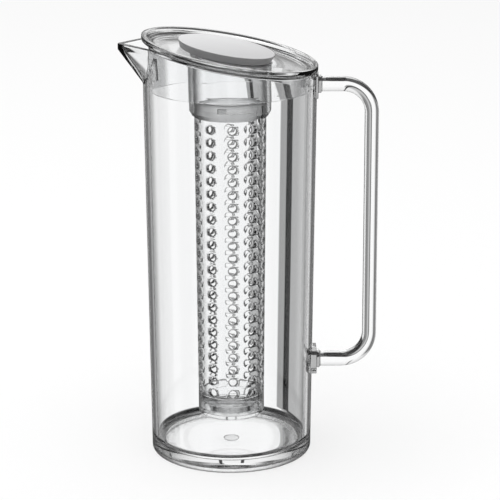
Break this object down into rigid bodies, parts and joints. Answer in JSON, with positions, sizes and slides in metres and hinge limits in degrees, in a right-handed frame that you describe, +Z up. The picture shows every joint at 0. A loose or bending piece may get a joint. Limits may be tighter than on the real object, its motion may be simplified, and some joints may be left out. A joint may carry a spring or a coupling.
{
  "type": "fruit infuser pitcher",
  "caption": "Tall clear plastic jug with a bar handle, a V spout and a slanted lid whose neck carries a perforated fruit infuser tube",
  "frame": {"origin": "centre of the jug's round foot, on the surface it stands on", "axes": "+Z up along the jug's axis, +X towards the handle, so the spout points along -X"},
  "size_m": [0.1738, 0.1174, 0.291],
  "materials": {
    "body_clear": "gloss",
    "handle_clear": "gloss",
    "lid_clear": "gloss",
    "cap_grey": "satin",
    "infuser_clear": "gloss"
  },
  "bodies": {
    "jug": {"jug_body": "body_clear", "handle": "handle_clear"},
    "lid": {"lid": "lid_clear"},
    "neck_cap": {"neck_cap": "cap_grey"},
    "infuser": {"infuser_tube": "infuser_clear"},
    "end_cap": {"infuser_end_cap": "infuser_clear"}
  },
  "joints": [
    {"name": "lid_lift", "type": "slide", "parent": "jug", "child": "lid", "axis": [0, 0, 1], "range_m": [0, 0.28]},
    {"name": "neck_cap_lift", "type": "slide", "parent": "lid", "child": "neck_cap", "axis": [0, 0, 1], "range_m": [0, 0.015]},
    {"name": "infuser_twist", "type": "hinge", "parent": "lid", "child": "infuser", "pos_m": [0, 0, 0.241], "axis": [0, 0, 1], "range_deg": [0, 60]},
    {"name": "end_cap_pull", "type": "slide", "parent": "infuser", "child": "end_cap", "axis": [0, 0, -1], "range_m": [0, 0.014]}
  ]
}
